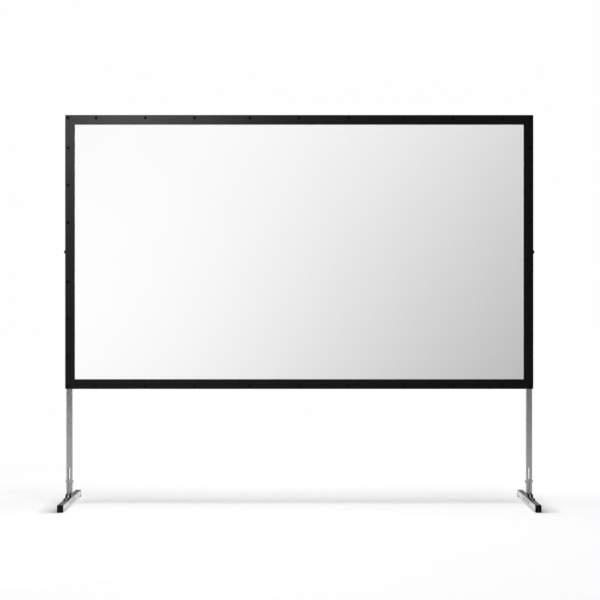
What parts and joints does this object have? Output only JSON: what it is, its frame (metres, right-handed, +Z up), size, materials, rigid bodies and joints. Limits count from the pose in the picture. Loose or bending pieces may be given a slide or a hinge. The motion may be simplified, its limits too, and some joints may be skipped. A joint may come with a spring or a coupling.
{
  "type": "folding projection screen",
  "caption": "Freestanding projection screen: black-bordered white cloth on press studs, on a folding square-tube frame on two T-legs with folding feet.",
  "frame": {"origin": "on the floor midway between the feet, in the plane of the legs' centres", "axes": "+X to the viewer's right along the screen, +Y away from the viewer, +Z up; the cloth faces -Y"},
  "size_m": [2.559, 0.8, 2.125],
  "materials": {
    "tube_aluminium": "satin anodised",
    "leg_aluminium": "satin anodised",
    "hinge_steel": "black satin paint",
    "zinc_steel": "bright zinc plate",
    "black_plastic": "moulded satin",
    "cloth_white": "matt coated screen cloth",
    "border_black": "black webbing",
    "snap_black": "black lacquered brass"
  },
  "bodies": {
    "bottom_middle": {"bottom_middle_rail": "tube_aluminium", "bottom_middle_studs": "snap_black", "bottom_middle_hinge_leaves": "hinge_steel", "middle_cloth": "cloth_white", "middle_border": "border_black"},
    "top_middle": {"top_middle_rail": "tube_aluminium", "top_middle_studs": "snap_black", "top_middle_hinge_leaves": "hinge_steel"},
    "bottom_left": {"bottom_left_rail": "tube_aluminium", "bottom_left_studs": "snap_black", "bottom_left_hinge_leaf": "hinge_steel", "bottom_left_corner_plates": "hinge_steel", "left_cloth": "cloth_white", "left_border": "border_black", "left_sleeve": "leg_aluminium"},
    "top_left": {"top_left_rail": "tube_aluminium", "top_left_studs": "snap_black", "top_left_hinge_leaf": "hinge_steel", "top_left_corner_plates": "hinge_steel"},
    "left_lower_side": {"left_lower_side_tube": "tube_aluminium", "left_lower_studs": "snap_black", "left_lower_hinge_plates": "hinge_steel"},
    "left_upper_side": {"left_upper_side_tube": "tube_aluminium", "left_upper_studs": "snap_black", "left_upper_hinge_plates": "hinge_steel"},
    "left_leg": {"left_upright": "leg_aluminium", "left_upright_cap": "black_plastic", "left_pivot_bolt": "zinc_steel"},
    "left_foot": {"left_foot_bar": "leg_aluminium", "left_foot_caps": "black_plastic", "left_foot_bracket": "black_plastic", "left_foot_tongue": "zinc_steel"},
    "left_sleeve_knob": {"left_sleeve_knob": "black_plastic"},
    "left_upper_knob": {"left_upper_knob": "black_plastic"},
    "bottom_right": {"bottom_right_rail": "tube_aluminium", "bottom_right_studs": "snap_black", "bottom_right_hinge_leaf": "hinge_steel", "bottom_right_corner_plates": "hinge_steel", "right_cloth": "cloth_white", "right_border": "border_black", "right_sleeve": "leg_aluminium"},
    "top_right": {"top_right_rail": "tube_aluminium", "top_right_studs": "snap_black", "top_right_hinge_leaf": "hinge_steel", "top_right_corner_plates": "hinge_steel"},
    "right_lower_side": {"right_lower_side_tube": "tube_aluminium", "right_lower_studs": "snap_black", "right_lower_hinge_plates": "hinge_steel"},
    "right_upper_side": {"right_upper_side_tube": "tube_aluminium", "right_upper_studs": "snap_black", "right_upper_hinge_plates": "hinge_steel"},
    "right_leg": {"right_upright": "leg_aluminium", "right_upright_cap": "black_plastic", "right_pivot_bolt": "zinc_steel"},
    "right_foot": {"right_foot_bar": "leg_aluminium", "right_foot_caps": "black_plastic", "right_foot_bracket": "black_plastic", "right_foot_tongue": "zinc_steel"},
    "right_sleeve_knob": {"right_sleeve_knob": "black_plastic"},
    "right_upper_knob": {"right_upper_knob": "black_plastic"}
  },
  "joints": [
    {"name": "side_fold", "type": "hinge", "parent": "bottom_left", "child": "left_lower_side", "pos_m": [-1.2405, -0.042, 0.6675], "axis": [0, 1, 0], "range_deg": [0, 90]},
    {"name": "left_middle_fold", "type": "hinge", "parent": "left_lower_side", "child": "left_upper_side", "pos_m": [-1.2735, -0.042, 1.38], "axis": [0, -1, 0], "range_deg": [0, 180]},
    {"name": "top_left_fold", "type": "hinge", "parent": "left_upper_side", "child": "top_left", "pos_m": [-1.2405, -0.042, 2.0925], "axis": [0, 1, 0], "range_deg": [0, 90]},
    {"name": "right_side_fold", "type": "hinge", "parent": "bottom_right", "child": "right_lower_side", "pos_m": [1.2405, -0.042, 0.6675], "axis": [0, -1, 0], "range_deg": [0, 90]},
    {"name": "right_middle_fold", "type": "hinge", "parent": "right_lower_side", "child": "right_upper_side", "pos_m": [1.2735, -0.042, 1.38], "axis": [0, 1, 0], "range_deg": [0, 180]},
    {"name": "left_wing_fold", "type": "hinge", "parent": "bottom_middle", "child": "bottom_left", "pos_m": [-0.42433, -0.06085, 0.6675], "axis": [0, 0, 1], "range_deg": [0, 90]},
    {"name": "right_wing_fold", "type": "hinge", "parent": "bottom_middle", "child": "bottom_right", "pos_m": [0.42433, -0.06085, 0.6675], "axis": [0, 0, -1], "range_deg": [0, 90]},
    {"name": "top_left_wing_fold", "type": "hinge", "parent": "top_left", "child": "top_middle", "pos_m": [-0.42433, -0.06085, 2.0925], "axis": [0, 0, -1], "range_deg": [0, 90]},
    {"name": "top_right_wing_fold", "type": "hinge", "parent": "top_middle", "child": "top_right", "pos_m": [0.42433, -0.06085, 2.0925], "axis": [0, 0, -1], "range_deg": [0, 90]},
    {"name": "left_leg_height", "type": "slide", "parent": "bottom_left", "child": "left_leg", "axis": [0, 0, 1], "range_m": [-0.3, 0.3]},
    {"name": "left_foot_fold", "type": "hinge", "parent": "left_leg", "child": "left_foot", "pos_m": [-1.257, 0, 0.127], "axis": [1, 0, 0], "range_deg": [0, 90]},
    {"name": "left_sleeve_knob_turn", "type": "hinge", "parent": "bottom_left", "child": "left_sleeve_knob", "pos_m": [-1.257, 0.03, 0.695], "axis": [0, 1, 0], "continuous": true},
    {"name": "left_upper_knob_turn", "type": "hinge", "parent": "left_leg", "child": "left_upper_knob", "pos_m": [-1.257, 0.03, 1.153], "axis": [0, 1, 0], "continuous": true},
    {"name": "right_leg_height", "type": "slide", "parent": "bottom_right", "child": "right_leg", "axis": [0, 0, 1], "range_m": [-0.3, 0.3]},
    {"name": "right_foot_fold", "type": "hinge", "parent": "right_leg", "child": "right_foot", "pos_m": [1.257, 0, 0.127], "axis": [1, 0, 0], "range_deg": [0, 90]},
    {"name": "right_sleeve_knob_turn", "type": "hinge", "parent": "bottom_right", "child": "right_sleeve_knob", "pos_m": [1.257, 0.03, 0.695], "axis": [0, 1, 0], "continuous": true},
    {"name": "right_upper_knob_turn", "type": "hinge", "parent": "right_leg", "child": "right_upper_knob", "pos_m": [1.257, 0.03, 1.153], "axis": [0, 1, 0], "continuous": true}
  ],
  "couplings": [
    {"joint": "left_middle_fold", "follows": "side_fold", "ratio": 2},
    {"joint": "top_left_fold", "follows": "side_fold", "ratio": 1},
    {"joint": "right_side_fold", "follows": "side_fold", "ratio": 1},
    {"joint": "right_middle_fold", "follows": "side_fold", "ratio": 2},
    {"joint": "top_left_wing_fold", "follows": "left_wing_fold", "ratio": 1},
    {"joint": "top_right_wing_fold", "follows": "right_wing_fold", "ratio": 1}
  ]
}
